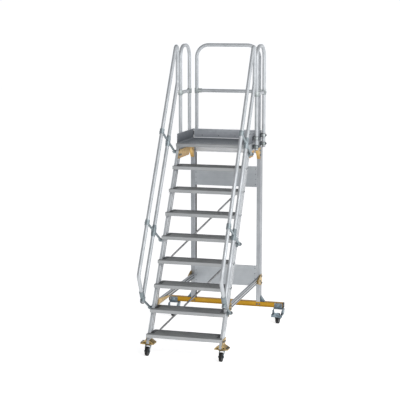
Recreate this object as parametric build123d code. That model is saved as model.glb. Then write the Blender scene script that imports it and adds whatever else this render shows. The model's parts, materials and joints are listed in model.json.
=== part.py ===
from build123d import *
from math import cos, radians, sin, tan
import os

# Mobile platform stairs: a 60 degree flight of aluminium treads up to a railed platform, with a
# wide rear cross tube, two rear posts and four swivel castors.
# Millimetres. X is to the right of someone who climbs, Y runs rearward, Z is up from the floor.
# Places along Y are first measured from the middle of the rear posts.

# Flight and platform
rise_count = 9
rise = 240.0
pitch = 60.0
clear_width = 768.0
platform_length = 686.0
platform_rear = 18.0
lip = 36.0
fit = 0.3
running_fit = 0.05

# Extrusions
stringer_width = 30.0
stringer_depth = 98.0
stringer_setback = 50.0
beam_height = 86.0
beam_width = 30.0
post_width = 50.0
post_depth = 80.0
strut_width = 30.0
strut_height = 60.0
edge_radius = 4.0
groove_width = 10.0
groove_depth = 2.0
post_groove_depth = 8.0

# Treads and deck planks
tread_depth = 213.0
plank_wall = 5.0
plank_leg = 28.0
plank_leg_gap = 68.0
rib_pitch = 12.0
rib_gap = 5.0
rib_height = 1.8
rib_margin = 16.0
nose_radius = 4.0
pad_width = 40.0
pad_height = 2.5
pad_front = 62.0
pad_rear = 10.0
nosing_depth = 42.0
nosing_step = 12.0
tie_height = 76.0
toe_height = 106.0
toe_thickness = 10.0
toe_bead_width = 16.0
toe_bead_height = 12.0

# Guard rails and handrails
tube_radius = 20.0
guard_height = 1100.0
guard_corner = 145.0
guard_reveal = 12.0
guard_foot = 6.0
side_guard_front = -381.0
side_guard_rear = -17.0
rear_guard_inset = 38.0
knee_height = 550.0
collar_wall = 6.0
tee_height = 56.0
tee_socket = 62.0
clamp_height = 30.0
clamp_width = 44.0
handrail_above = 444.0
handrail_knee_above = 189.0
handrail_leg = -495.0
handrail_end_along = -1930.0
handrail_bend_along = -1723.0
handrail_tip_along = -1865.0
handrail_tip_above = 225.0
handrail_bends = (60.0, 40.0, 100.0)
bracket_along = (-60.0, -1120.0, -1893.0)
arm_radius = 13.0
boss_radius = 20.0
disc_radius = 35.0
disc_thickness = 9.0
sleeve_length = 60.0

# Rear frame
traverse_side = 60.0
traverse_half = 692.0
traverse_cap = 12.0
panel_height = 240.0
panel_flange = 25.0
panel_sheet = 2.5
panel_bottoms = {"rear_panel_lower": 430.0, "rear_panel_upper": 1606.0}
strut_z = 505.0
brace_half = 340.0
brace_radius = 7.0
brace_clearance = 1.0
brace_pad_radius = 10.0
brace_rise_count = 3

# Castings
bracket_wall = 8.0
gusset_width = 36.0
head_drop = 84.0
head_lap = 14.0
head_low_length = 394.0
head_top_length = 481.0
post_gusset_length = 110.0
post_gusset_drop = 135.0
gusset_edge = 24.0
shoe_length = 70.0
shoe_wall = 8.0
tongue_length = 390.0
tongue_low = 18.0
cheek_length = 110.0
cheek_front_half = 24.0
cheek_half = 62.0
flange_half = 85.0
foot_half = 74.0
foot_length = 104.0
foot_base = 12.0
foot_shoulder = 46.0
foot_neck = 100.0
foot_rib = 7.0
foot_pocket = 14.0
heel_width = 52.0
heel_height = 72.0
heel_length = 40.0

# Castors: front pair under the feet, rear pair under the cross tube
saddle_wall = 4.0
saddle_length = 92.0
saddle_side = 54.0
front_castor = {
    "wheel": 100.0, "width": 32.0, "height": 125.0, "trail": 42.0, "plate": (104.0, 86.0),
    "crown": 27.0, "crown_half": 29.0, "crown_gap": 7.0, "bow": 53.0, "round": 5.0, "brake": False,
}
rear_castor = {
    "wheel": 125.0, "width": 38.0, "height": 177.5, "trail": 45.0, "plate": (110.0, 90.0),
    "crown": 46.0, "crown_half": 66.0, "crown_gap": 41.0, "bow": 42.0, "round": 20.0, "brake": True,
}
front_castor_x = 407.0
rear_castor_inset = 51.0
front_swivel_y = -1716.0
plate_thickness = 4.0
fork_sheet = 4.0
race_radius = 22.0
pin_radius = 7.0
nut_radius = 11.0
nut_height = 5.0
axle_radius = 5.0
axle_head = 4.0
axle_head_radius = 9.0
eye_radius = 15.0
wheel_side_gap = 5.0
brake_arm = 14.0
brake_drop = 18.0
tyre_depth_share = 0.2
tyre_edge = 6.0
hub_radius = 16.0
hub_web = 14.0

# Worked-out places
slope = radians(pitch)
deck_z = rise_count * rise
beam_z = deck_z - beam_height
nosing_y = platform_rear - platform_length
front_beam_rear = nosing_y + nosing_depth
inner_x = clear_width / 2
outer_x = inner_x + stringer_width
stringer_x = inner_x + stringer_width / 2
stringer_back = -stringer_setback - stringer_depth
traverse_bottom = rear_castor["height"] + saddle_wall
traverse_top = traverse_bottom + traverse_side
post_front = -post_depth / 2
rear_castor_x = traverse_half - rear_castor_inset
rail_x = outer_x + guard_reveal + tube_radius
rear_guard_half = outer_x - rear_guard_inset
rear_rail_y = platform_rear + guard_reveal + tube_radius
rail_z = deck_z + guard_height - tube_radius
knee_z = deck_z + knee_height
guard_bottom = beam_z + guard_foot
collar_radius = tube_radius + collar_wall
foot_top = front_castor["height"] + foot_base
flight_length = deck_z / sin(slope)
brace_gap = (brace_radius + brace_clearance) / sin(slope) + plank_leg / 2 / tan(slope)


def slope_point(along, above):
    """Y and Z of a point measured up the flight and square to it, from the platform nosing."""
    y = nosing_y + along * cos(slope) - above * sin(slope)
    z = deck_z + along * sin(slope) + above * cos(slope)
    return y, z


def leg_point(above):
    """Where a line along the flight crosses the upright leg of the handrail."""
    along = (handrail_leg - nosing_y + above * sin(slope)) / cos(slope)
    return slope_point(along, above)


def tread_nosing(number):
    """Y and Z of the front top edge of a tread, counted from the floor."""
    return slope_point((number - rise_count) * rise / sin(slope), 0)


def block(x, y, z):
    """A box from its low and high limits on each axis."""
    size = [high - low for low, high in (x, y, z)]
    middle = [(high + low) / 2 for low, high in (x, y, z)]
    return Pos(*middle) * Box(*size)


def side_prism(points, x_low, x_high):
    """A side outline of Y and Z points, extruded along X."""
    outline = make_face(Polyline(*points, close=True))
    return extrude(Plane.YZ.offset(x_low) * outline, amount=x_high - x_low)


def rod(start, end, radius):
    """A round bar between two points."""
    start = Vector(*start)
    run = Vector(*end) - start
    return extrude(Plane(origin=start, z_dir=run) * Circle(radius), amount=run.length)


def bent_tube(points, bends, radius):
    """A round tube along straight runs joined by bends."""
    path = FilletPolyline(*points, radius=bends)
    return sweep(Plane(origin=path @ 0, z_dir=path % 0) * Circle(radius), path=path)


def both_sides(shape):
    """The right-hand piece and its mirror image."""
    return [shape, mirror(shape, about=Plane.YZ)]


def slope_slab(above_low, above_high, x_low, x_high):
    """A slab parallel to the flight, longer than the flight."""
    reach = flight_length
    corners = [(-2 * reach, above_low), (reach, above_low), (reach, above_high), (-2 * reach, above_high)]
    return side_prism([slope_point(*corner) for corner in corners], x_low, x_high)


def grooved_section(width, depth, cut=groove_depth):
    """An extrusion's section with two grooves on each broad side."""
    section = RectangleRounded(width, depth, edge_radius)
    for x in (-width / 2, width / 2):
        for y in (-depth / 4, depth / 4):
            section -= Pos(x, y) * Rectangle(2 * cut, groove_width)
    return section


def plank_section(depth, front_drop):
    """A ribbed plank seen from its end: a top skin on legs, grooved for grip."""
    corner = (Align.MIN, Align.MAX)
    section = Rectangle(depth, plank_wall, align=corner)
    section += Rectangle(plank_wall, front_drop, align=corner)
    leg_count = int(depth // plank_leg_gap)
    for index in range(1, leg_count):
        section += Pos(index * depth / leg_count, 0) * Rectangle(plank_wall, plank_leg, align=corner)
    section += Pos(depth - plank_wall, 0) * Rectangle(plank_wall, plank_leg, align=corner)
    section = fillet(section.vertices().sort_by_distance((0, 0))[0], nose_radius)
    rib_count = int((depth - 2 * rib_margin) // rib_pitch)
    for index in range(rib_count):
        section -= Pos(rib_margin + index * rib_pitch, 0) * Rectangle(rib_gap, 2 * rib_height)
    return section


def stringer():
    middle = slope_point(flight_length, -stringer_setback - stringer_depth / 2)
    plane = Plane(origin=(stringer_x, *middle), x_dir=(1, 0, 0), z_dir=(0, cos(slope), sin(slope)))
    bar = extrude(plane * grooved_section(stringer_width, stringer_depth), amount=-3 * flight_length)
    reach = 2 * flight_length
    return bar & block((0, reach), (-reach, reach), (foot_top, beam_z))


def tread(number):
    y, z = tread_nosing(number)
    plank = extrude(Plane.YZ * plank_section(tread_depth, lip), amount=outer_x, both=True)
    plank = Pos(0, y, z) * plank
    notch = slope_slab(-flight_length, fit - stringer_setback, inner_x - fit, outer_x + lip)
    for side_notch in both_sides(notch):
        plank -= side_notch
    return plank


def tread_end_pads():
    pads = []
    for number in range(1, rise_count):
        y, z = tread_nosing(number)
        x_high = inner_x - fit
        pad = block(
            (x_high - pad_width, x_high), (y + pad_front, y + tread_depth - pad_rear), (z, z + pad_height)
        )
        pads += both_sides(pad)
    return pads


def platform_front_beam():
    """The nosing across the platform's front, with an end block down each side beam."""
    section = Pos(nosing_y, deck_z) * Rectangle(nosing_depth, lip, align=(Align.MIN, Align.MAX))
    section = fillet(section.vertices().sort_by_distance((nosing_y, deck_z))[0], nose_radius)
    beam = extrude(Plane.YZ * section, amount=outer_x, both=True)
    end = block((inner_x, outer_x), (nosing_y + nosing_step, front_beam_rear), (beam_z, deck_z - lip))
    for end_block in both_sides(end):
        beam += end_block
    return beam


def side_beam():
    origin = (outer_x - beam_width / 2, front_beam_rear, deck_z - beam_height / 2)
    plane = Plane(origin=origin, x_dir=(1, 0, 0), z_dir=(0, 1, 0))
    return extrude(plane * grooved_section(beam_width, beam_height), amount=platform_rear - front_beam_rear)


def rear_beam():
    section = Pos(platform_rear - beam_width / 2, deck_z - beam_height / 2)
    section = section * grooved_section(beam_width, beam_height)
    return extrude(Plane.YZ * section, amount=outer_x - beam_width, both=True)


def post_tie_beam():
    """A second beam under the rear one, between the heads of the posts."""
    section = Pos(platform_rear - beam_width / 2, beam_z - tie_height / 2)
    section = section * grooved_section(beam_width, tie_height)
    return extrude(Plane.YZ * section, amount=stringer_x - post_width / 2 - fit, both=True)


def platform_deck():
    depth = platform_rear - beam_width - front_beam_rear
    half = outer_x - beam_width - fit
    plank = extrude(Plane.YZ * plank_section(depth, plank_leg), amount=half, both=True)
    return Pos(0, front_beam_rear, deck_z) * plank


def toe_section():
    corner = (Align.MAX, Align.MIN)
    board = Rectangle(toe_thickness, toe_height, align=corner)
    bead = Rectangle(toe_bead_width, toe_bead_height, align=corner)
    section = board + Pos(0, toe_height - toe_bead_height) * bead
    return fillet(section.vertices().group_by(Axis.Y)[-1], nose_radius)


def side_toe_board():
    plane = Plane(origin=(outer_x, platform_rear, deck_z), x_dir=(1, 0, 0), z_dir=(0, -1, 0))
    return extrude(plane * toe_section(), amount=platform_rear - front_beam_rear)


def rear_toe_board():
    section = Pos(platform_rear, deck_z) * toe_section()
    return extrude(Plane.YZ * section, amount=outer_x - toe_bead_width - fit, both=True)


def rear_post():
    plane = Plane(origin=(stringer_x, 0, traverse_top))
    section = grooved_section(post_width, post_depth, post_groove_depth)
    return extrude(plane * section, amount=beam_z - traverse_top)


def rear_panel(bottom):
    top = bottom + panel_height
    half = stringer_x - post_width / 2 - fit
    sheet = block((-half, half), (post_front, post_front + panel_sheet), (bottom, top))
    for low in (bottom, top - panel_sheet):
        sheet += block((-half, half), (post_front, post_front + panel_flange), (low, low + panel_sheet))
    return sheet


def strut_blank(inward, grow):
    """The strut's outline, grown on its sides, from the stringer to the post."""
    half_width = strut_width / 2
    half_height = strut_height / 2 + grow
    x_limits = (stringer_x - half_width - inward, stringer_x + half_width + grow)
    z_limits = (strut_z - half_height, strut_z + half_height)
    bar = block(x_limits, (-flight_length, post_front), z_limits)
    return bar & slope_slab(-flight_length, stringer_back - bracket_wall, 0, 2 * outer_x)


def side_strut():
    origin = (stringer_x, post_front, strut_z)
    plane = Plane(origin=origin, x_dir=(1, 0, 0), z_dir=(0, -1, 0))
    bar = extrude(plane * grooved_section(strut_width, strut_height), amount=flight_length)
    return bar & slope_slab(-flight_length, stringer_back - bracket_wall, 0, 2 * outer_x)


def strut_shoe():
    """A cast shoe at the strut's front, with a flange on the stringer and a long inner tongue."""
    shoe = strut_blank(0, shoe_wall)
    x_limits = (inner_x, outer_x + shoe_wall)
    y_seat = slope_point((strut_z - deck_z - stringer_back * cos(slope)) / sin(slope), stringer_back)[0]
    shoe &= block(x_limits, (-flight_length, y_seat + shoe_length), (0, deck_z))
    flange = slope_slab(stringer_back - bracket_wall, stringer_back, *x_limits)
    flange &= block(x_limits, (-flight_length, 0), (strut_z - flange_half, strut_z + flange_half))
    tongue_z = (strut_z - tongue_low, strut_z, strut_z + strut_height / 2 + shoe_wall)
    tip_y = y_seat + tongue_length
    root_y = y_seat - shoe_length
    shoe_y = y_seat + shoe_length
    points = [
        (root_y, tongue_z[0]), (tip_y, tongue_z[0]), (tip_y, tongue_z[1]),
        (shoe_y, tongue_z[2]), (root_y, tongue_z[2]),
    ]
    tongue = side_prism(points, inner_x - bracket_wall, inner_x)
    tongue &= slope_slab(-flight_length, stringer_back, 0, outer_x)
    return shoe + flange + tongue - strut_blank(fit, fit)


def strut_cheek():
    """A cast cheek at the strut's rear, on the outer sides of the strut and the post."""
    post_side = stringer_x + post_width / 2
    front_y = post_front - cheek_length
    rear_y = post_depth / 4
    points = [
        (front_y, strut_z - cheek_front_half), (post_front, strut_z - cheek_half),
        (rear_y, strut_z - cheek_half), (rear_y, strut_z + cheek_half),
        (post_front, strut_z + cheek_half), (front_y, strut_z + cheek_front_half),
    ]
    cheek = side_prism(points, outer_x, post_side + bracket_wall)
    return cheek - block((0, post_side), (post_front, post_depth), (0, deck_z))


def brace_rod(first, last):
    """A tie rod behind the treads, from one tread's left end to the right end of a higher one."""
    ends = []
    for number, x in ((first, -brace_half), (last, brace_half)):
        y, z = tread_nosing(number)
        ends.append(Vector(x, y + tread_depth + brace_gap, z - plank_leg / 2))
    bar = rod(ends[0], ends[1], brace_radius)
    for end in ends:
        bar += rod(end - Vector(0, brace_gap, 0), end + Vector(0, brace_radius, 0), brace_pad_radius)
    return bar


def stringer_head():
    """A cast plate on the inner sides of a stringer's top and the platform beam above it."""
    low_z = beam_z - head_drop
    top_z = beam_z + head_lap
    front = []
    for z in (low_z, beam_z):
        along = (z - deck_z + stringer_setback * cos(slope)) / sin(slope)
        front.append(slope_point(along, -stringer_setback))
    rear = [(nosing_y + head_low_length, low_z), (nosing_y + head_top_length, top_z)]
    points = [*rear, (front_beam_rear, top_z), *reversed(front)]
    return side_prism(points, inner_x - bracket_wall, inner_x)


def post_head():
    tip_y = post_front - post_gusset_length
    low_z = beam_z - post_gusset_drop
    points = [
        (post_front, beam_z), (post_front, low_z), (post_front - gusset_edge, low_z),
        (tip_y, beam_z - gusset_edge), (tip_y, beam_z),
    ]
    return side_prism(points, stringer_x - gusset_width / 2, stringer_x + gusset_width / 2)


def foot_bracket():
    """A cast shoe under a stringer: ribbed wings on a base, and a neck up the stringer."""
    base_z = front_castor["height"]
    neck_x = (inner_x, outer_x + bracket_wall)
    shoulder_z = base_z + foot_shoulder
    wing_x = (front_castor_x - foot_half, front_castor_x + foot_half)
    outline = [
        (wing_x[0], base_z), (wing_x[1], base_z), (wing_x[1], foot_top),
        (neck_x[1], shoulder_z), (neck_x[0], shoulder_z), (wing_x[0], foot_top),
    ]
    plane = Plane(origin=(0, front_swivel_y - foot_length / 2, 0), x_dir=(1, 0, 0), z_dir=(0, -1, 0))
    shoe = extrude(plane * make_face(Polyline(*outline, close=True)), amount=-foot_length)
    for near, far in ((neck_x[1] + foot_rib, wing_x[1]), (neck_x[0] - foot_rib, wing_x[0])):
        low_z = foot_top
        tip = near + (far - near) * (shoulder_z - 2 * foot_rib - low_z) / (shoulder_z - low_z)
        corners = [(near, low_z), (tip, low_z), (near, shoulder_z - 2 * foot_rib)]
        pocket = make_face(Polyline(*corners, close=True))
        shoe -= extrude(plane * pocket, amount=-foot_pocket)
    neck = slope_slab(stringer_back - bracket_wall, -stringer_setback, *neck_x)
    neck &= block(neck_x, (-2 * flight_length, 0), (base_z, base_z + foot_neck))
    socket_x = (inner_x - fit, outer_x + fit)
    socket = slope_slab(stringer_back - fit, flight_length, *socket_x)
    socket &= block(socket_x, (-2 * flight_length, 0), (foot_top, deck_z))
    return shoe + neck - socket


def post_heel():
    x_low = stringer_x + post_width / 2
    x_high = x_low + heel_width
    points = [(x_low, traverse_top), (x_high, traverse_top), (x_low, traverse_top + heel_height)]
    face = make_face(Polyline(*points, close=True))
    plane = Plane(origin=(0, -heel_length / 2, 0), x_dir=(1, 0, 0), z_dir=(0, -1, 0))
    return extrude(plane * face, amount=-heel_length)


def traverse():
    section = Pos(0, traverse_bottom + traverse_side / 2)
    section = section * RectangleRounded(traverse_side, traverse_side, edge_radius)
    return extrude(Plane.YZ * section, amount=traverse_half, both=True)


def traverse_cap_piece():
    section = Pos(0, traverse_bottom + traverse_side / 2)
    section = section * RectangleRounded(traverse_side, traverse_side, edge_radius)
    return extrude(Plane.YZ.offset(traverse_half) * section, amount=traverse_cap)


def side_guard():
    points = [
        (rail_x, side_guard_front, guard_bottom), (rail_x, side_guard_front, rail_z),
        (rail_x, side_guard_rear, rail_z), (rail_x, side_guard_rear, guard_bottom),
    ]
    return bent_tube(points, guard_corner, tube_radius)


def rear_guard():
    points = [
        (-rear_guard_half, rear_rail_y, guard_bottom), (-rear_guard_half, rear_rail_y, rail_z),
        (rear_guard_half, rear_rail_y, rail_z), (rear_guard_half, rear_rail_y, guard_bottom),
    ]
    return bent_tube(points, guard_corner, tube_radius)


def guard_posts():
    """Each guard's two uprights, as X and Y, with the outward side they are clamped from."""
    posts = []
    for x, outward in ((rail_x, (1, 0)), (-rail_x, (-1, 0))):
        posts.append(((x, side_guard_front), (x, side_guard_rear), outward))
    posts.append(((-rear_guard_half, rear_rail_y), (rear_guard_half, rear_rail_y), (0, 1)))
    return posts


def knee_rails():
    rails = []
    for start, end, _ in guard_posts():
        low = Vector(*start, knee_z)
        high = Vector(*end, knee_z)
        step = (high - low).normalized() * collar_radius
        rails.append(rod(low + step, high - step, tube_radius))
    return rails


def knee_tees():
    tees = []
    for start, end, _ in guard_posts():
        for here, there in ((start, end), (end, start)):
            middle = Vector(*here, knee_z)
            along = (Vector(*there, knee_z) - middle).normalized()
            up = Vector(0, 0, tee_height)
            tee = rod(middle - up / 2, middle + up / 2, collar_radius)
            tee += rod(middle, middle + along * tee_socket, collar_radius - collar_wall / 4)
            tee -= rod(middle - up, middle + up, tube_radius + fit)
            mouth = middle + along * 2 * tee_socket
            tees.append(tee - rod(middle + along * collar_radius, mouth, tube_radius + fit))
    return tees


def guard_clamps():
    clamps = []
    heights = (deck_z - beam_height / 2, deck_z + toe_height / 2)
    for start, end, outward in guard_posts():
        for x, y in (start, end):
            for z in heights:
                middle = Vector(x, y, z)
                out = Vector(*outward, 0)
                reach = tube_radius + guard_reveal
                seat = Plane(origin=middle - out * reach, z_dir=out, x_dir=(0, 0, 1))
                clamp = extrude(seat * Rectangle(clamp_height, clamp_width), amount=reach)
                up = Vector(0, 0, clamp_height)
                clamp += rod(middle - up / 2, middle + up / 2, collar_radius)
                clamps.append(clamp - rod(middle - up, middle + up, tube_radius + fit))
    return clamps


def handrail():
    tip = slope_point(handrail_tip_along, handrail_tip_above)
    bend = slope_point(handrail_bend_along, handrail_above)
    end = slope_point(handrail_end_along, handrail_knee_above)
    points = [tip, bend, leg_point(handrail_above), leg_point(handrail_knee_above), end]
    return bent_tube([(rail_x, *point) for point in points], handrail_bends, tube_radius)


def rail_sleeve(along, above, radius, length):
    low = slope_point(along - length / 2, above)
    high = slope_point(along + length / 2, above)
    return rod((rail_x, *low), (rail_x, *high), radius)


def handrail_bracket(along, lowest):
    """An arm square to the flight, from a boss on the stringer to sleeves on the handrail tubes."""
    middle = -stringer_setback - stringer_depth / 2
    root = slope_point(along, middle)
    heights = (handrail_knee_above,) if lowest else (handrail_knee_above, handrail_above)
    arm = rod((outer_x, *root), (outer_x + disc_thickness, *root), disc_radius)
    arm += rod((outer_x, *root), (rail_x + arm_radius, *root), boss_radius)
    arm += rod((rail_x, *root), (rail_x, *slope_point(along, heights[-1])), arm_radius)
    for above in heights:
        arm += rail_sleeve(along, above, collar_radius, sleeve_length)
    tip = Vector(rail_x, *slope_point(handrail_tip_along, handrail_tip_above))
    bend = Vector(rail_x, *slope_point(handrail_bend_along, handrail_above))
    if lowest:
        climb = (bend - tip).normalized()
        tip_gap = handrail_tip_above - handrail_knee_above - tube_radius
        arm += rod(tip - climb * tip_gap, tip + climb * sleeve_length, collar_radius)
        arm -= rod(tip - climb * fit, bend, tube_radius + fit)
    for above in heights:
        arm -= rail_sleeve(along, above, tube_radius + fit, 4 * sleeve_length)
    return arm


def handrail_brackets():
    lowest = bracket_along[-1]
    return [handrail_bracket(along, along == lowest) for along in bracket_along]


def castor_saddle():
    half = saddle_length / 2
    x_limits = (rear_castor_x - half, rear_castor_x + half)
    inner = traverse_side / 2 + fit
    outer = inner + saddle_wall
    low = traverse_bottom - saddle_wall
    shell = block(x_limits, (-outer, outer), (low, traverse_bottom + saddle_side))
    return shell - block(x_limits, (-inner, inner), (traverse_bottom, traverse_top + saddle_side))


def castor_head(castor):
    """The fixed half of a castor: top plate, ball race and king pin with its nut."""
    plate_low = castor["height"] - plate_thickness
    crown_top = castor["wheel"] + castor["crown_gap"] + fork_sheet
    crown_low = castor["wheel"] + castor["crown_gap"]
    width, length = castor["plate"]
    head = block((-width / 2, width / 2), (-length / 2, length / 2), (plate_low, castor["height"]))
    head = fillet(head.edges().filter_by(Axis.Z), edge_radius)
    head += rod((0, 0, crown_top + fit), (0, 0, castor["height"]), race_radius)
    head += rod((0, 0, crown_low - fit - nut_height), (0, 0, castor["height"]), pin_radius)
    return head + rod((0, 0, crown_low - fit - nut_height), (0, 0, crown_low - fit), nut_radius)


def castor_fork(castor):
    """A pressed fork: a front outline crossed with a side outline, with its axle and crown bore."""
    axle_z = castor["wheel"] / 2
    crown_low = castor["wheel"] + castor["crown_gap"]
    crown_top = crown_low + fork_sheet
    leg = castor["width"] / 2 + wheel_side_gap
    foot = axle_z - eye_radius
    shoulder = castor["crown_half"]
    bow = axle_z + castor["bow"]
    right = [
        (leg + fork_sheet, foot), (leg + fork_sheet, axle_z + eye_radius),
        (shoulder, bow), (shoulder, crown_top),
    ]
    inner = [
        (shoulder - fork_sheet, crown_low), (shoulder - fork_sheet, bow),
        (leg, axle_z + eye_radius), (leg, foot),
    ]
    left = [(-x, z) for x, z in reversed(right)]
    inner_left = [(-x, z) for x, z in reversed(inner)]
    front_view = make_face(Polyline(*right, *left, *inner_left, *inner, close=True))
    front_view = fillet(front_view.vertices().group_by(Axis.Y)[-1], castor["round"])
    front_view = fillet(front_view.vertices().group_by(Axis.Y)[-2], castor["round"] - fork_sheet)
    reach = castor["trail"] + castor["wheel"]
    plane = Plane(origin=(0, -reach, 0), x_dir=(1, 0, 0), z_dir=(0, -1, 0))
    front = extrude(plane * front_view, amount=-2 * reach)
    side_view = make_hull(
        (Pos(-castor["trail"], axle_z) * Circle(eye_radius)).edges()
        + (Pos(0, crown_low + fork_sheet / 2) * Rectangle(2 * castor["crown"], fork_sheet)).edges()
    )
    fork = front & extrude(Plane.YZ * side_view, amount=2 * shoulder, both=True)
    tip = leg + fork_sheet + axle_head
    fork += rod((-tip, -castor["trail"], axle_z), (tip, -castor["trail"], axle_z), axle_radius)
    for side in (-1, 1):
        seat = Vector(side * (leg + fork_sheet), -castor["trail"], axle_z)
        fork += rod(seat, seat + Vector(side * axle_head, 0, 0), axle_head_radius)
    bore = rod((0, 0, crown_low - fork_sheet), (0, 0, crown_top + fork_sheet), pin_radius + running_fit)
    return fork - bore


def castor_wheel(castor):
    """Tyre and hub of one wheel, about an axle along X."""
    radius = castor["wheel"] / 2
    seat = radius * (1 - tyre_depth_share)
    half = castor["width"] / 2
    bearing = half + wheel_side_gap - fit
    crown = half - tyre_edge
    tyre = make_face(Polyline((seat, half), (radius, crown), (radius, -crown), (seat, -half), close=True))
    hub = Rectangle(hub_radius, 2 * bearing, align=(Align.MIN, Align.CENTER))
    hub += Rectangle(seat - fit, hub_web, align=(Align.MIN, Align.CENTER))
    rim_ring = Rectangle(fork_sheet, castor["width"] - fork_sheet, align=(Align.MAX, Align.CENTER))
    hub += Pos(seat - fit, 0) * rim_ring
    hub -= Rectangle(axle_radius + running_fit, 4 * bearing, align=(Align.MIN, Align.CENTER))
    plane = Plane(origin=(0, -castor["trail"], radius), x_dir=(0, 1, 0), z_dir=(0, 0, -1))
    axis = Axis((0, -castor["trail"], radius), (1, 0, 0))
    return revolve(plane * tyre, axis), revolve(plane * hub, axis)


def brake_shoe(castor):
    """The wheel brake's shoe: a plate across the front of the tyre, on arms from the fork."""
    axle_z = castor["wheel"] / 2
    bow = axle_z + castor["bow"]
    half = castor["crown_half"]
    front = -castor["trail"] - castor["wheel"] / 2 - wheel_side_gap
    shoe = block((-half, half), (front - fork_sheet, front), (bow - brake_drop, bow + brake_arm))
    for side in (-1, 1):
        x_limits = sorted((side * (half - fork_sheet), side * half))
        shoe += block(x_limits, (front, -castor["trail"]), (bow, bow + brake_arm))
    return shoe


parts = {
    "stringer_right": stringer(),
    "stringer_left": mirror(stringer(), about=Plane.YZ),
    "tread_end_pads": tread_end_pads(),
    "platform_front_beam": platform_front_beam(),
    "platform_beam_right": side_beam(),
    "platform_beam_left": mirror(side_beam(), about=Plane.YZ),
    "platform_beam_rear": rear_beam(),
    "post_tie_beam": post_tie_beam(),
    "platform_deck": platform_deck(),
    "toe_board_right": side_toe_board(),
    "toe_board_left": mirror(side_toe_board(), about=Plane.YZ),
    "toe_board_rear": rear_toe_board(),
    "rear_post_right": rear_post(),
    "rear_post_left": mirror(rear_post(), about=Plane.YZ),
    "side_strut_right": side_strut(),
    "side_strut_left": mirror(side_strut(), about=Plane.YZ),
    "strut_brackets": both_sides(strut_shoe()) + both_sides(strut_cheek()),
    "stringer_heads": both_sides(stringer_head()),
    "post_heads": both_sides(post_head()),
    "foot_brackets": both_sides(foot_bracket()),
    "post_heels": both_sides(post_heel()),
    "traverse": traverse(),
    "traverse_caps": both_sides(traverse_cap_piece()),
    "side_guard_right": side_guard(),
    "side_guard_left": mirror(side_guard(), about=Plane.YZ),
    "rear_guard": rear_guard(),
    "knee_rails": knee_rails(),
    "knee_tees": knee_tees(),
    "guard_clamps": guard_clamps(),
    "handrail_right": handrail(),
    "handrail_left": mirror(handrail(), about=Plane.YZ),
    "handrail_brackets_right": handrail_brackets(),
    "handrail_brackets_left": [mirror(arm, about=Plane.YZ) for arm in handrail_brackets()],
    "castor_saddles": both_sides(castor_saddle()),
}
for number in range(1, rise_count):
    parts[f"tread_{number}"] = tread(number)
for name, bottom in panel_bottoms.items():
    parts[name] = rear_panel(bottom)
for name, first in (("brace_rod_lower", 1), ("brace_rod_upper", 1 + brace_rise_count)):
    parts[name] = brace_rod(first, first + brace_rise_count)

# Swivel axis of each castor: name, castor, X, Y
castor_places = (
    ("front_right", front_castor, front_castor_x, front_swivel_y),
    ("front_left", front_castor, -front_castor_x, front_swivel_y),
    ("rear_right", rear_castor, rear_castor_x, 0.0),
    ("rear_left", rear_castor, -rear_castor_x, 0.0),
)
heads = []
for name, castor, x, y in castor_places:
    place = Pos(x, y, 0)
    fork = castor_fork(castor)
    if castor["brake"]:
        fork += brake_shoe(castor)
    tyre, hub = castor_wheel(castor)
    heads.append(place * castor_head(castor))
    parts[f"fork_{name}"] = place * fork
    parts[f"tyre_{name}"] = place * tyre
    parts[f"hub_{name}"] = place * hub
parts["castor_heads"] = heads

# The frame's origin is on the floor under the middle of the overall length.
wheel_front = front_swivel_y - front_castor["trail"] - front_castor["wheel"] / 2
front_most = min(parts["handrail_right"].bounding_box().min.Y, wheel_front)
rear_most = rear_rail_y + collar_radius
to_origin = Pos(0, -(front_most + rear_most) / 2, 0)

os.makedirs("parts", exist_ok=True)
for name, shape in parts.items():
    pieces = shape if isinstance(shape, list) else [shape]
    solids = [to_origin * solid for piece in pieces for solid in piece.solids()]
    export_step(Compound(solids) if len(solids) > 1 else solids[0], f"parts/{name}.step")
print("origin shift", to_origin.position.Y)
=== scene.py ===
import json
from math import cos, pi, radians, sin
import bmesh
import bpy
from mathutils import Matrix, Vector


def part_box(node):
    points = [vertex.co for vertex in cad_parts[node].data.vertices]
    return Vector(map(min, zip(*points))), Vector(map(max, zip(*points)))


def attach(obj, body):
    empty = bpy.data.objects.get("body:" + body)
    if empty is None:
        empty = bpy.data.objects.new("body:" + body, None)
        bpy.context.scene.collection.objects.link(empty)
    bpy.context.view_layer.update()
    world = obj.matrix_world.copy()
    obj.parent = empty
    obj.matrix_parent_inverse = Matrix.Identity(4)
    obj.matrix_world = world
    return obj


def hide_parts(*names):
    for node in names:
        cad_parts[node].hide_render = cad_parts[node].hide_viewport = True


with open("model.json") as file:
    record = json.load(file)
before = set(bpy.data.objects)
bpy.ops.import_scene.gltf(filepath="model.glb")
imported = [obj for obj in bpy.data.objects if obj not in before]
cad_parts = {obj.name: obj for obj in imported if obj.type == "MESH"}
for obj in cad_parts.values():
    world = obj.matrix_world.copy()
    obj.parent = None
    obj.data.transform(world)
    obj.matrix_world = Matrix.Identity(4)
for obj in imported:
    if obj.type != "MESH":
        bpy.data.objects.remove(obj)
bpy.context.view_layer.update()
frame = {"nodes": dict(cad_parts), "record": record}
nodes = frame["nodes"]
scene = bpy.context.scene
corners = ("front_right", "front_left", "rear_right", "rear_left")
pitch = radians(60)   # slope of the flight
print("frame loaded:", len(nodes), "nodes")


def hexColour(code):
    # sRGB hex to the linear values that shader sockets take
    channels = [int(code[i:i + 2], 16) / 255 for i in (1, 3, 5)]
    linear = [c / 12.92 if c <= 0.04045 else ((c + 0.055) / 1.055) ** 2.4 for c in channels]
    return (*linear, 1.0)


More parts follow.
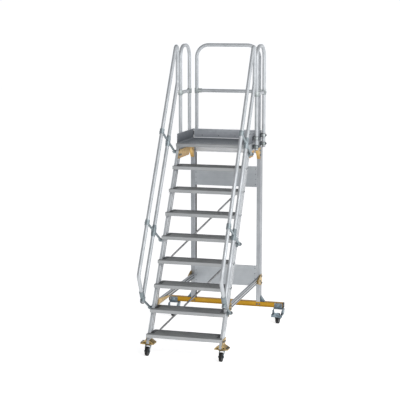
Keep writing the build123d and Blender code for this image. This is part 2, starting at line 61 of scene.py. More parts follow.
def setInputs(tree, node, inputs):
    # an input takes a plain value, a socket, or a node, which stands for its first output
    for key, value in inputs.items():
        if isinstance(value, bpy.types.Node):
            value = value.outputs[0]
        if isinstance(value, bpy.types.NodeSocket):
            tree.links.new(value, node.inputs[key])
        else:
            node.inputs[key].default_value = value


def addNode(tree, kind, inputs=None, **settings):
    # kind is the node's type without the prefix that all shader nodes share
    node = tree.nodes.new("ShaderNode" + kind)
    for key, value in settings.items():
        setattr(node, key, value)
    setInputs(tree, node, inputs or {})
    return node


def startMaterial(name):
    material = bpy.data.materials.new(name)
    material.use_nodes = True
    tree = material.node_tree
    tree.nodes.clear()
    shader = addNode(tree, "BsdfPrincipled")
    addNode(tree, "OutputMaterial", {"Surface": shader})
    return material, tree, shader


# Camera: fitted to the photograph, in the frame's metres and degrees
cameraSetup = {
    "place": (3.5637, -12.7414, 3.6323),
    "turnRight": 15.874,
    "lookDown": 8.854,
    "lens": 109.36,
    "sensor": 36.0,
    "clipEnd": 100.0,
}


def makeCamera():
    setup = cameraSetup
    data = bpy.data.cameras.new("photoCamera")
    data.lens = setup["lens"]
    data.sensor_width = setup["sensor"]
    data.clip_end = setup["clipEnd"]
    camera = bpy.data.objects.new("photoCamera", data)
    camera.location = setup["place"]
    # a camera without a turn looks straight down
    camera.rotation_euler = (radians(90 - setup["lookDown"]), 0, radians(setup["turnRight"]))
    scene.collection.objects.link(camera)
    scene.camera = camera


makeCamera()
print("camera placed")

# Studio: a white horizon, a greyer ceiling, a dimmer side front left, one broad lamp high on the right
studioSetup = {
    "roomColour": "#fbfcff",
    "horizonStrength": 1.05,
    "ceilingStrength": 0.3,
    "horizonTop": 0.12,
    "ceilingFrom": 0.62,
    "dimToward": (-0.86, -0.5, 0.0),
    "dimFrom": 0.25,
    "dimTo": 0.85,
    "dimStrength": 0.45,
    "keyPlace": (5.2, -4.2, 5.6),
    "keyAim": (0.0, 0.0, 1.6),
    "keySize": 3.6,
    "keyPower": 330.0,
    "floorColour": "#f6f6f6",
    "floorRoughness": 0.9,
    "glowColour": "#ffffff",
    "floorGlow": 0.68,
    "floorSize": 80.0,
}


def makeRoom():
    setup = studioSetup
    world = bpy.data.worlds.new("studioRoom")
    scene.world = world
    world.use_nodes = True
    tree = world.node_tree
    tree.nodes.clear()
    direction = addNode(tree, "TexCoord").outputs["Generated"]
    height = addNode(tree, "SeparateXYZ", {"Vector": direction})
    strength = addNode(tree, "MapRange", {
        "Value": height.outputs["Z"],
        "From Min": setup["horizonTop"], "From Max": setup["ceilingFrom"],
        "To Min": setup["horizonStrength"], "To Max": setup["ceilingStrength"],
    }, interpolation_type="SMOOTHSTEP")
    side = addNode(tree, "VectorMath", {0: direction, 1: setup["dimToward"]}, operation="DOT_PRODUCT")
    dim = addNode(tree, "MapRange", {
        "Value": side.outputs["Value"], "From Min": setup["dimFrom"], "From Max": setup["dimTo"],
        "To Min": 1.0, "To Max": setup["dimStrength"],
    }, interpolation_type="SMOOTHSTEP")
    both = addNode(tree, "Math", {0: strength, 1: dim}, operation="MULTIPLY")
    background = addNode(tree, "Background", {
        "Color": hexColour(setup["roomColour"]), "Strength": both,
    })
    addNode(tree, "OutputWorld", {"Surface": background})


def makeKeyLamp():
    setup = studioSetup
    data = bpy.data.lights.new("keyLamp", "AREA")
    data.shape = "DISK"
    data.size = setup["keySize"]
    data.energy = setup["keyPower"]
    lamp = bpy.data.objects.new("keyLamp", data)
    lamp.location = setup["keyPlace"]
    aim = Vector(setup["keyAim"]) - Vector(setup["keyPlace"])
    lamp.rotation_euler = aim.to_track_quat("-Z", "Y").to_euler()
    scene.collection.objects.link(lamp)


def makeFloor():
    setup = studioSetup
    half = setup["floorSize"] / 2
    mesh = bpy.data.meshes.new("studioFloor")
    square = [(-half, -half, 0), (half, -half, 0), (half, half, 0), (-half, half, 0)]
    mesh.from_pydata(square, [], [(0, 1, 2, 3)])
    floor = bpy.data.objects.new("studioFloor", mesh)
    scene.collection.objects.link(floor)
    material, tree, shader = startMaterial("mattPaperSweep")
    setInputs(tree, shader, {
        "Base Color": hexColour(setup["floorColour"]), "Roughness": setup["floorRoughness"],
        "Emission Color": hexColour(setup["glowColour"]), "Emission Strength": setup["floorGlow"],
    })
    mesh.materials.append(material)


makeRoom()
makeKeyLamp()
makeFloor()
scene.view_settings.view_transform = "Standard"
print("studio lit")

# Socket numbers of the Mix node's colour inputs and output
colourA, colourB, colourOut = 6, 7, 2


def perMetre(sizeMm):
    # pattern scale in object coordinates, from a real size in millimetres
    return 1000.0 / sizeMm


def layColours(tree, base, coats):
    # a base colour under coats of other colours, each with the pattern that says where it covers
    colour = hexColour(base)
    for cover, coat in coats:
        layers = {0: cover, colourA: colour, colourB: hexColour(coat)}
        layer = addNode(tree, "Mix", layers, data_type="RGBA")
        colour = layer.outputs[colourOut]
    return colour


def linkFinish(tree, shader, look, colour, wear, height, wearRange=(0.3, 0.7), relief=0.6):
    # what every finish ends with: colour, roughness that follows a wear pattern, relief and metallic
    smoothest, roughest = look["rough"]
    gloss = addNode(tree, "MapRange", {
        "Value": wear, "From Min": wearRange[0], "From Max": wearRange[1],
        "To Min": smoothest, "To Max": roughest,
    })
    bump = addNode(tree, "Bump", {
        "Height": height, "Strength": relief, "Distance": look["depthMm"] / 1000,
    })
    setInputs(tree, shader, {
        "Base Color": colour, "Roughness": gloss, "Normal": bump, "Metallic": look["metallic"],
    })


def rubbedCorners(tree, widthMm):
    # 1 along outside corners, 0 on flats: where hands and shoes rub a finish
    rounded = addNode(tree, "Bevel", {"Radius": widthMm / 1000}, samples=4)
    surface = addNode(tree, "NewGeometry")
    normals = {0: rounded, 1: surface.outputs["Normal"]}
    # the cosine of the angle between the two normals, which falls toward a corner
    match = addNode(tree, "VectorMath", normals, operation="DOT_PRODUCT").outputs["Value"]
    return addNode(tree, "MapRange", {"Value": match, "From Min": 0.97, "From Max": 0.82})


# Anodised aluminium, pressed through a die and etched matt: a soft grey sheen with faint lines along
# the bar, cloudy patches from the bath and corners rubbed a little brighter
extrusionLook = {
    "light": "#c2c5c8", "dark": "#a6aaae", "rubbed": "#d9dbdc",
    "metallic": 0.85, "rough": (0.34, 0.5),
    "lineMm": 6.0, "lineLengthMm": 900.0,   # die lines are under 1 mm, drawn coarser so that they show
    "cloudMm": 150.0, "depthMm": 0.06, "cornerMm": 2.5,
}
# The stringers: the same bar painted paler, painted light on their shaded faces, and less of a mirror
# on their front faces
litStringerLook = {**extrusionLook, "light": "#cfd2d5", "dark": "#b8bcbf", "metallic": 0.4}
# The platform's nosing: the same bar, darker
nosingLook = {**extrusionLook, "light": "#b3b5b6", "dark": "#989a9b"}
# The tie beam under the platform: the same bar nearly white and with little metal, painted light in the
# platform's shade
litTieLook = {**extrusionLook, "light": "#fbfbfc", "dark": "#f0f2f4", "metallic": 0.08}
# The left post: the same bar painted darker, a painted shade
shadedPostLook = {**extrusionLook, "light": "#acafb3", "dark": "#92969a"}
# Each finish with its look, the turn that lays its lines along the bar, and the nodes that take it
extrusionRuns = {
    "anodisedExtrusionUpright": (extrusionLook, (0, 0, 0), ("rear_post_right",)),
    "anodisedExtrusionShadedUpright": (shadedPostLook, (0, 0, 0), ("rear_post_left",)),
    "anodisedExtrusionLitAlongFlight": (litStringerLook, (pi / 2 - pitch, 0, 0), (
        "stringer_left", "stringer_right",
    )),
    "anodisedExtrusionLengthwise": (extrusionLook, (pi / 2, 0, 0), (
        "side_strut_left", "side_strut_right", "platform_beam_left", "platform_beam_right",
    )),
    "anodisedExtrusionCrosswise": (extrusionLook, (0, pi / 2, 0), ("platform_beam_rear",)),
    "anodisedExtrusionNosing": (nosingLook, (0, pi / 2, 0), ("platform_front_beam",)),
    "litExtrusionTie": (litTieLook, (0, pi / 2, 0), ("post_tie_beam",)),
}


def makeExtrusion(name, look, turn):
    material, tree, shader = startMaterial(name)
    place = addNode(tree, "TexCoord").outputs
    aligned = addNode(tree, "VectorRotate", {
        "Vector": place["Object"], "Rotation": turn,
    }, rotation_type="EULER_XYZ")
    fine = perMetre(look["lineMm"])
    drawn = addNode(tree, "Mapping", {
        "Vector": aligned, "Scale": (fine, fine, perMetre(look["lineLengthMm"])),
    })
    lines = addNode(tree, "TexNoise", {
        "Vector": drawn, "Scale": 1.0, "Detail": 2.0, "Roughness": 0.6,
    })
    clouds = addNode(tree, "TexNoise", {
        "Vector": place["Object"], "Scale": perMetre(look["cloudMm"]), "Detail": 4.0,
    })
    blend = addNode(tree, "Math", {0: lines, 1: clouds}, operation="MULTIPLY")
    spread = addNode(tree, "MapRange", {"Value": blend, "From Min": 0.14, "From Max": 0.38})
    colour = layColours(tree, look["dark"], (
        (spread, look["light"]), (rubbedCorners(tree, look["cornerMm"]), look["rubbed"]),
    ))
    linkFinish(tree, shader, look, colour, clouds, lines)
    return material


# Aluminium tube, drawn, brushed and anodised: brighter than the bars, with a broad soft streak of light
# down each tube, a fine grain and the dull smudges that hands leave
tubeLook = {
    "light": "#c1c4c7", "dark": "#b0b4b7", "metallic": 0.45, "rough": (0.44, 0.58),
    "grainMm": 5.0,     # brush marks are far finer, drawn coarser so that they show
    "smudgeMm": 120.0, "depthMm": 0.012,
}


def makeTube():
    look = tubeLook
    material, tree, shader = startMaterial("brushedAluminiumTube")
    place = addNode(tree, "TexCoord").outputs
    grain = addNode(tree, "TexNoise", {
        "Vector": place["Object"], "Scale": perMetre(look["grainMm"]), "Detail": 2.0,
    })
    smudge = addNode(tree, "TexNoise", {
        "Vector": place["Object"], "Scale": perMetre(look["smudgeMm"]), "Detail": 4.0,
        "Distortion": 0.6,
    })
    patch = addNode(tree, "MapRange", {"Value": smudge, "From Min": 0.3, "From Max": 0.7})
    colour = layColours(tree, look["light"], [(patch, look["dark"])])
    linkFinish(tree, shader, look, colour, smudge, grain, relief=0.5)
    return material


# Mill aluminium planks, extruded with grip ribs: dull dark walking faces with a lighter lip in front,
# painted shade and light; darker toward the back, a painted shade; painted shade with some dirt in the
# grooves
treadLook = {
    "name": "ribbedMillAluminium", "front": "#8d8f8f", "back": "#4c4d4e", "scuffed": "#8d8f8e",
    "groove": "#353737", "side": "#abadae", "metallic": 0.5, "rough": (0.42, 0.62),
    "scuffMm": 60.0, "scuffStretch": (0.35, 1.0, 1.0), "scuffRange": (0.35, 0.68), "scuffShare": 0.6,
    "grooveMm": 7.0, "gritMm": 3.0, "depthMm": 0.1,
}
# The platform's planks: the same ribbed metal with the same painted light and shade, bluer and less
# walked on
deckLook = {
    **treadLook, "name": "ribbedDeckAluminium", "front": "#a6aaaf", "back": "#44484d",
    "scuffed": "#8a8f95", "groove": "#383c41", "side": "#8d9399", "rough": (0.4, 0.58),
    "scuffMm": 90.0, "grooveMm": 9.0,
}


def makePlank(look):
    material, tree, shader = startMaterial(look["name"])
    place = addNode(tree, "TexCoord").outputs
    surface = addNode(tree, "NewGeometry")
    facing = addNode(tree, "SeparateXYZ", {"Vector": surface.outputs["Normal"]})
    # upright faces, the lip and the sides, take a lighter colour than the walking face: painted light
    upright = addNode(tree, "MapRange", {
        "Value": facing.outputs["Z"], "From Min": 0.75, "From Max": 0.35,
    })
    stretched = addNode(tree, "Mapping", {"Vector": place["Object"], "Scale": look["scuffStretch"]})
    scuff = addNode(tree, "TexNoise", {
        "Vector": stretched, "Scale": perMetre(look["scuffMm"]), "Detail": 6.0, "Roughness": 0.65,
    })
    least, most = look["scuffRange"]
    patch = addNode(tree, "MapRange", {"Value": scuff, "From Min": least, "From Max": most})
    # the back of each plank darkens: a painted shade
    depth = addNode(tree, "SeparateXYZ", {"Vector": place["Generated"]})
    worn = addNode(tree, "Math", {0: patch, 1: look["scuffShare"]}, operation="MULTIPLY")
    # the grooves darken where little light reaches: painted shade, with some dirt
    shelter = addNode(tree, "AmbientOcclusion", {"Distance": look["grooveMm"] / 1000}, samples=6)
    shadeAndDirt = addNode(tree, "MapRange", {
        "Value": shelter.outputs["AO"], "From Min": 0.85, "From Max": 0.35,
    })
    colour = layColours(tree, look["front"], (
        (depth.outputs["Y"], look["back"]), (worn, look["scuffed"]),
        (shadeAndDirt, look["groove"]), (upright, look["side"]),
    ))
    grit = addNode(tree, "TexNoise", {
        "Vector": place["Object"], "Scale": perMetre(look["gritMm"]), "Detail": 2.0,
    })
    # shoes polish the scuffed places
    linkFinish(tree, shader, look, colour, scuff, grit, wearRange=(most, least), relief=0.5)
    return material


# Rolled aluminium sheet, satin: faint brush grain across, slow waves in the reflection, finger marks,
# and lighter toward the top, a painted highlight
sheetLook = {
    "name": "satinAluminiumSheet", "top": "#bcc0c3", "foot": "#aeb2b6", "grained": "#a6abaf",
    "metallic": 0.8, "rough": (0.38, 0.48),
    "grainMm": 4.0, "grainLengthMm": 500.0,   # brush grain drawn coarser so that it shows
    "waveMm": 260.0, "depthMm": 0.4, "markMm": 90.0,
}
# The side toe boards: the same sheet, duller, scuffed by shoes, and painted darker all over and most
# toward the deck, a painted shade
toeLook = {
    "name": "scuffedAluminiumSheet", "top": "#8b8f94", "foot": "#4b4f55", "grained": "#6b6f75",
    "metallic": 0.25, "rough": (0.4, 0.54),
    "grainMm": 5.0, "grainLengthMm": 300.0,   # shoe streaks, drawn coarser so that they show
    "waveMm": 260.0, "depthMm": 0.3, "markMm": 60.0,
}
# The rear toe board: the side boards' sheet painted paler, a painted light
litRearToeLook = {
    **toeLook, "name": "litAluminiumSheet", "top": "#dde1e6", "foot": "#9b9fa5", "grained": "#a3a7ad",
}


def makeSheet(look):
    material, tree, shader = startMaterial(look["name"])
    place = addNode(tree, "TexCoord").outputs
    fine = perMetre(look["grainMm"])
    rolled = addNode(tree, "Mapping", {
        "Vector": place["Object"], "Scale": (perMetre(look["grainLengthMm"]), fine, fine),
    })
    grain = addNode(tree, "TexNoise", {"Vector": rolled, "Scale": 1.0, "Detail": 2.0})
    marks = addNode(tree, "TexNoise", {
        "Vector": place["Object"], "Scale": perMetre(look["markMm"]), "Detail": 5.0,
        "Distortion": 0.5,
    })
    waves = addNode(tree, "TexNoise", {
        "Vector": place["Object"], "Scale": perMetre(look["waveMm"]), "Detail": 0.0,
    })
    # lighter toward the top and darker toward the foot: painted light and shade
    height = addNode(tree, "SeparateXYZ", {"Vector": place["Generated"]})
    mixed = addNode(tree, "Math", {0: grain, 1: marks}, operation="ADD")
    spread = addNode(tree, "MapRange", {
        "Value": mixed, "From Min": 0.8, "From Max": 1.3, "To Max": 0.6,
    })
    colour = layColours(tree, look["foot"], (
        (height.outputs["Z"], look["top"]), (spread, look["grained"]),
    ))
    linkFinish(tree, shader, look, colour, marks, waves, relief=0.5)
    return material


# In the looks made by makeSurface, under is a painted shade on the lower part of a piece, and cavity a
# painted shade in its corners, with some dirt
# Aluminium, die cast and shot blasted: grey with a slight green cast, an even grit, bright rubbed rims
castLook = {
    "name": "blastedCastAluminium", "light": "#c6cbcb", "dark": "#a2a9a9", "under": "#868e8e",
    "rubbed": "#d6dada", "cavity": "#343938", "metallic": 0.75, "rough": (0.4, 0.56),
    "gritMm": 2.5, "depthMm": 0.12, "patchMm": 40.0, "cornerMm": 2.0, "cavityMm": 14.0,
}
# The handrail brackets, cast in a darker alloy: a dull blue grey with paler rubbed edges
bracketLook = {
    **castLook, "name": "darkCastAluminium", "light": "#a3adb1", "dark": "#828c90", "under": "#788286",
    "rubbed": "#c3c9ca", "metallic": 0.6, "rough": (0.44, 0.6),
}
# Steel rod, drawn and plated: an even neutral grey with one dull streak of light along it
rodLook = {
    **castLook, "name": "drawnPlatedRod", "light": "#b9b9ba", "dark": "#8f8f90", "under": "#969697",
    "rubbed": "#d4d4d4", "metallic": 0.8,
}
# Steel castings, zinc plated and passivated yellow: pale golden metal, paler still where it is rubbed,
# browner toward the underside and nearly black in the corners, painted shade with some dirt in the
# corners
yellowLook = {
    "name": "yellowPassivatedCasting", "light": "#e2c184", "dark": "#be954c", "under": "#a67d3a",
    "rubbed": "#f0e2c0", "cavity": "#2e230e", "metallic": 0.85, "rough": (0.3, 0.46),
    "gritMm": 5.0, "depthMm": 0.06, "patchMm": 50.0, "cornerMm": 2.5, "cavityMm": 18.0,
}
# Castings plated the same way, on the feet and strut shoes: duller and darker, olive in the painted
# shade below, with pale rubbed rims
dullYellowLook = {
    **yellowLook, "name": "dulledYellowCasting", "light": "#dcbf86", "dark": "#a68a54",
    "under": "#86703e",
}
# Steel tube, rolled and plated in the same bath: deeper yellow, brown along its lower half, a painted
# shade
yellowTubeLook = {
    **yellowLook, "name": "yellowPassivatedTube", "light": "#c29434", "dark": "#ae821f",
    "under": "#83610a", "patchMm": 160.0, "cavityMm": 6.0,
}
# Steel, pressed and zinc plated: cool grey patches, dark in the folds, a painted shade, bright on
# rubbed edges
zincLook = {
    "name": "brightZincPlate", "light": "#9aa8b0", "dark": "#4f5c65", "under": "#55626a",
    "rubbed": "#dfe3e3", "cavity": "#14191c", "metallic": 0.95, "rough": (0.24, 0.4),
    "gritMm": 4.0, "depthMm": 0.03, "patchMm": 30.0, "cornerMm": 1.5, "cavityMm": 70.0,
}
# Steel bolts, hot dipped and weathered: duller and darker than the plated parts around them
boltLook = {
    "name": "weatheredBoltSteel", "light": "#8b9196", "dark": "#64696e", "under": "#5c6165",
    "rubbed": "#b4b8ba", "cavity": "#26292b", "metallic": 0.9, "rough": (0.36, 0.5),
    "gritMm": 2.0, "depthMm": 0.03, "patchMm": 9.0, "cornerMm": 0.8, "cavityMm": 6.0,
}
# Polyethylene, injection moulded with a spark-eroded skin: near black, dusty, corners scuffed grey
plasticLook = {
    "name": "mouldedBlackPolyethylene", "light": "#34363a", "dark": "#1d1f22", "under": "#191b1d",
    "rubbed": "#54585c", "cavity": "#0c0d0e", "metallic": 0.0, "rough": (0.42, 0.6),
    "gritMm": 2.0, "depthMm": 0.1, "patchMm": 35.0, "cornerMm": 2.0, "cavityMm": 8.0,
}
# Solid rubber, moulded: matt black with floor dust worked into it and a greyer scuffed tread edge
rubberLook = {
    "name": "mouldedSolidRubber", "light": "#131314", "dark": "#070708", "under": "#09090a",
    "rubbed": "#262625", "cavity": "#040404", "metallic": 0.0, "rough": (0.68, 0.86),
    "gritMm": 2.0, "depthMm": 0.15, "patchMm": 18.0, "cornerMm": 1.5, "cavityMm": 6.0,
}
# Painted shadow in the grooves: strips with a rubber's matt finish, blacker than the moulded parts
grooveShadeLook = {**rubberLook, "name": "paintedGrooveShade", "rubbed": "#1c1c1d"}
# Nylon, glass filled and moulded: dark grey with pale flow marks and a low sheen
hubLook = {
    "name": "mouldedGreyNylon", "light": "#4b4f53", "dark": "#35393c", "under": "#303336",
    "rubbed": "#6d7174", "cavity": "#141516", "metallic": 0.0, "rough": (0.36, 0.5),
    "gritMm": 2.0, "depthMm": 0.06, "patchMm": 15.0, "cornerMm": 1.0, "cavityMm": 8.0,
}


def makeSurface(look):
    # patches between two tones, painted shade below and in the corners with some dirt there, gritty
    # relief and rubbed edges
    material, tree, shader = startMaterial(look["name"])
    place = addNode(tree, "TexCoord").outputs
    patches = addNode(tree, "TexNoise", {
        "Vector": place["Object"], "Scale": perMetre(look["patchMm"]), "Detail": 5.0,
        "Distortion": 0.4,
    })
    grit = addNode(tree, "TexNoise", {
        "Vector": place["Object"], "Scale": perMetre(look["gritMm"]), "Detail": 2.0,
    })
    spread = addNode(tree, "MapRange", {"Value": patches, "From Min": 0.33, "From Max": 0.67})
    height = addNode(tree, "SeparateXYZ", {"Vector": place["Generated"]})
    # darker toward the bottom: a painted shade
    low = addNode(tree, "MapRange", {
        "Value": height.outputs["Z"], "From Min": 0.55, "From Max": 0.1, "To Max": 0.7,
    }, interpolation_type="SMOOTHSTEP")
    # the corners darken where little light reaches: painted shade, with some dirt
    shelter = addNode(tree, "AmbientOcclusion", {"Distance": look["cavityMm"] / 1000}, samples=6)
    shadeAndDirt = addNode(tree, "MapRange", {
        "Value": shelter.outputs["AO"], "From Min": 0.75, "From Max": 0.3, "To Max": 0.85,
    })
    chipped = addNode(tree, "Math", {
        0: rubbedCorners(tree, look["cornerMm"]), 1: spread,
    }, operation="MULTIPLY")
    colour = layColours(tree, look["dark"], (
        (spread, look["light"]), (low, look["under"]),
        (shadeAndDirt, look["cavity"]), (chipped, look["rubbed"]),
    ))
    linkFinish(tree, shader, look, colour, patches, grit)
    return material


finishes = {
    "tube_aluminium": makeTube(),
    "tread_aluminium": makePlank(treadLook),
    "deck_aluminium": makePlank(deckLook),
    "panel_sheet": makeSheet(sheetLook),
    "cast_clamp": makeSurface(castLook),
    "yellow_zinc": makeSurface(yellowLook),
    "zinc_steel": makeSurface(zincLook),
    "black_plastic": makeSurface(plasticLook),
    "wheel_rubber": makeSurface(rubberLook),
    "hub_plastic": makeSurface(hubLook),
}
boltFinish = makeSurface(boltLook)
grooveShadeFinish = makeSurface(grooveShadeLook)
bracketFinish = makeSurface(bracketLook)
rodFinish = makeSurface(rodLook)
dullYellowFinish = makeSurface(dullYellowLook)
toeFinish = makeSheet(toeLook)
# Nodes whose finish differs from their slot's
nodeFinishes = {
    "toe_board_left": toeFinish, "toe_board_right": toeFinish,
    "toe_board_rear": makeSheet(litRearToeLook),
    "post_heels": finishes["zinc_steel"],
    "traverse": makeSurface(yellowTubeLook),
    "foot_brackets": dullYellowFinish, "strut_brackets": dullYellowFinish,
    "handrail_brackets_left": bracketFinish, "handrail_brackets_right": bracketFinish,
    "brace_rod_lower": rodFinish, "brace_rod_upper": rodFinish,
}
for finishName, (look, turn, nodeNames) in extrusionRuns.items():
    runFinish = makeExtrusion(finishName, look, turn)
    for nodeName in nodeNames:
        nodeFinishes[nodeName] = runFinish
finishes["frame_aluminium"] = nodeFinishes["platform_beam_rear"]
for entry in frame["record"]["subparts"]:
    mesh = nodes[entry["node"]].data
    mesh.materials.clear()
    mesh.materials.append(nodeFinishes.get(entry["node"], finishes[entry["material_slot"]]))
print("finishes on", len(nodes), "nodes")

# Turned shapes: rows of radius and reach along the axis, as shares of the size given; a row marked hex
# has a six-sided outline, and the others are round
shapes = {
    # washer and chamfered hexagon head, size is the width across flats
    "hexBolt": (
        (1.08, 0.0), (1.08, 0.11), (1.02, 0.16), (0.5, 0.16, "hex"), (0.5, 0.65, "hex"), (0.47, 0.76),
        (0.31, 0.76), (0.27, 0.72),
    ),
    # hexagon nut with a short end of thread, size is the width across flats
    "nut": (
        (0.68, 0.0), (0.68, 0.07), (0.5, 0.07, "hex"), (0.5, 0.31, "hex"), (0.47, 0.35), (0.3, 0.35),
        (0.27, 0.44),
    ),
    # low round head with a hexagon socket, size is the radius
    "screw": (
        (1.0, 0.0), (1.0, 0.35), (0.82, 0.62), (0.56, 0.66), (0.46, 0.62, "hex"), (0.44, 0.2, "hex"),
    ),
    # domed head, size is the radius
    "rivet": ((1.0, 0.0), (0.94, 0.22), (0.7, 0.42), (0.3, 0.52)),
    # rounded plug in a tube's end, size is the tube's radius
    "plug": ((1.0, 0.0), (1.0, 0.12), (0.85, 0.25), (0.5, 0.3)),
}
# How meshes are drawn: points round a turned piece and a bead, the softened share of a bead's radius
# and the angle from which an edge is sharp
meshSetup = {"turnedSteps": 24, "beadSteps": 16, "beadSoftening": 0.3, "sharpAngle": radians(38)}
zUp = Vector((0, 0, 1))


def joinRings(bm, rings, ring=False):
    # skins neighbouring rings of points; a ring has no end caps
    pairs = list(zip(rings, rings[1:]))
    if ring:
        pairs.append((rings[-1], rings[0]))
    else:
        bm.faces.new(list(reversed(rings[0])))
        bm.faces.new(rings[-1])
    for lower, upper in pairs:
        for step, point in enumerate(lower):
            after = (step + 1) % len(lower)
            bm.faces.new((point, lower[after], upper[after], upper[step]))


def addTurned(bm, place, axis, rows, steps=meshSetup["turnedSteps"], ring=False):
    turn = zUp.rotation_difference(Vector(axis))
    rings = []
    for radius, reach, *mark in rows:
        points = []
        for step in range(steps):
            angle = 2 * pi * step / steps
            # a marked row is a hexagon, and its radius is half the width across flats
            out = radius / cos(angle % (pi / 3) - pi / 6) if mark else radius
            spot = Vector((out * cos(angle), out * sin(angle), reach))
            points.append(bm.verts.new(Vector(place) + turn @ spot))
        rings.append(points)
    joinRings(bm, rings, ring)


def addShape(bm, place, axis, shapeName, size):
    rows = [(size * out, size * reach, *mark) for out, reach, *mark in shapes[shapeName]]
    addTurned(bm, place, axis, rows)


def addPair(bm, place, axis, shapeName, size):
    # a shape at a right-hand place, and its mirror image
    addShape(bm, place, axis, shapeName, size)
    (x, y, z), (a, b, c) = place, axis
    addShape(bm, (-x, y, z), (-a, b, c), shapeName, size)


def addBead(bm, place, axis, radius, length):
    # a round bar with softened ends
    soft = meshSetup["beadSoftening"] * radius
    rows = [(radius - soft, 0.0), (radius, soft), (radius, length - soft), (radius - soft, length)]
    addTurned(bm, place, axis, rows, meshSetup["beadSteps"])


def addPlate(bm, place, across, up, size, chamfer):
    # a plate standing out from a face, its width, height and thickness given, with a chamfered front
    across, up = Vector(across), Vector(up)
    out = across.cross(up)
    width, height, thick = size
    rings = []
    for shrink, reach in ((0.0, 0.0), (0.0, thick - chamfer), (chamfer, thick)):
        ring = []
        for sideways, upward in ((-1, -1), (1, -1), (1, 1), (-1, 1)):
            spot = across * sideways * (width / 2 - shrink) + up * upward * (height / 2 - shrink)
            ring.append(bm.verts.new(Vector(place) + spot + out * reach))
        rings.append(ring)
    joinRings(bm, rings)


def finishPiece(name, bm, slotName, finish=None, body="stairs"):
    bmesh.ops.recalc_face_normals(bm, faces=bm.faces)
    mesh = bpy.data.meshes.new(name)
    bm.to_mesh(mesh)
    bm.free()
    for polygon in mesh.polygons:
        polygon.use_smooth = True
    mesh.set_sharp_from_angle(angle=meshSetup["sharpAngle"])
    mesh.materials.append(finish or finishes[slotName])
    piece = bpy.data.objects.new(name, mesh)
    scene.collection.objects.link(piece)
    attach(piece, body)
    return piece


# Places read from the frame, in metres
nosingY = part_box("platform_front_beam")[0].y
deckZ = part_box("platform_front_beam")[1].z
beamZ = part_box("platform_beam_right")[0].z
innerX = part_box("stringer_right")[0].x
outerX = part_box("stringer_right")[1].x
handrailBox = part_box("handrail_right")
railX = (handrailBox[0].x + handrailBox[1].x) / 2
tubeRadius = (handrailBox[1].x - handrailBox[0].x) / 2
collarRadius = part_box("knee_tees")[1].x - railX
# square to the flight: the stringer's middle and back, and the grooves along its sides
stringerMiddle, stringerBack = -0.099, -0.148
stringerGrooves = (-0.0745, -0.1235)
# each castor's swivel axis, X and Y, from its joint
swivels = {}
for joint in frame["record"]["behaviour"]["joints"]:
    if joint["name"].startswith("swivel_"):
        swivels[joint["name"].removeprefix("swivel_")] = joint["pos_m"][:2]


def flightPoint(x, along, above):
    # a place measured up the flight and square to it from the platform's nosing
    y = nosingY + along * cos(pitch) - above * sin(pitch)
    z = deckZ + along * sin(pitch) + above * cos(pitch)
    return (x, y, z)


def flightPointAt(x, z, above):
    # a place at a height, measured square to the flight
    return flightPoint(x, (z - deckZ - above * cos(pitch)) / sin(pitch), above)


# Handrail brackets: a bolt in each boss, three on each disc and a screw in each sleeve
bracketSetup = {
    "along": (-0.060, -1.120, -1.893),
    "sleeves": (0.189, 0.444),
    "discFace": 0.009, "armRadius": 0.013, "discTurns": (90, 210, 330),
    "bossFlats": 0.017, "discFlats": 0.008, "discCircle": 0.0275, "screwRadius": 0.0055,
}


def makeBracketFixings():
    setup = bracketSetup
    out = (1, 0, 0)
    bolts = bmesh.new()
    for along in setup["along"]:
        root = flightPoint(railX + setup["armRadius"], along, stringerMiddle)
        addPair(bolts, root, out, "hexBolt", setup["bossFlats"])
        for turn in setup["discTurns"]:
            lift = setup["discCircle"] * sin(radians(turn))
            shift = setup["discCircle"] * cos(radians(turn))
            spot = flightPoint(outerX + setup["discFace"], along + shift, stringerMiddle + lift)
            addPair(bolts, spot, out, "hexBolt", setup["discFlats"])
        lowest = along == setup["along"][-1]   # it holds the knee run alone
        for above in setup["sleeves"][:1] if lowest else setup["sleeves"]:
            spot = flightPoint(railX + collarRadius, along, above)
            addPair(bolts, spot, out, "screw", setup["screwRadius"])
    finishPiece("bracketFixings", bolts, "zinc_steel", boltFinish)


# Handrails: long tapered sleeves on the knee runs at the upper two brackets, and a plug in each low end
handrailSetup = {"length": 0.130, "radius": 0.0266, "mouth": 0.0215, "taper": 0.039, "tubeEnd": -1.930}


def makeHandrailTrim():
    setup = handrailSetup
    length, radius, mouth, taper = (setup[key] for key in ("length", "radius", "mouth", "taper"))
    rows = [
        (tubeRadius, 0.0), (mouth, 0.0), (radius, taper), (radius, length - taper), (mouth, length),
        (tubeRadius, length),
    ]
    climb = Vector((0, cos(pitch), sin(pitch)))
    knee = bracketSetup["sleeves"][0]
    tees = bmesh.new()
    for along in bracketSetup["along"][:-1]:
        for side in (-1, 1):
            middle = Vector(flightPoint(side * railX, along, knee))
            addTurned(tees, middle - climb * length / 2, climb, rows, ring=True)
    finishPiece("bracketTees", tees, "cast_clamp", bracketFinish)
    plugs = bmesh.new()
    addPair(plugs, flightPoint(railX, setup["tubeEnd"], knee), -climb, "plug", tubeRadius)
    finishPiece("handrailPlugs", plugs, "black_plastic")


# Guard posts: screws in the knee tees; bolted black clamp plates, part clamp and part painted shade and
# reflection on the beams behind, dark liners and plugs at the platform
guardSetup = {
    "kneeZ": deckZ + 0.550,
    "clampHeights": (deckZ - 0.043, deckZ + 0.053),
    "socketOut": 0.045, "socketStep": 0.0015, "reveal": 0.012,
    "screwRadius": 0.0055, "clampFlats": 0.013,
    "plate": (0.118, 0.044, 0.009), "chamfer": 0.003, "plateBolt": 0.045, "plateFlats": 0.011,
    "clampHalf": 0.015, "liner": 0.0045, "linerRadius": 0.0245,
}


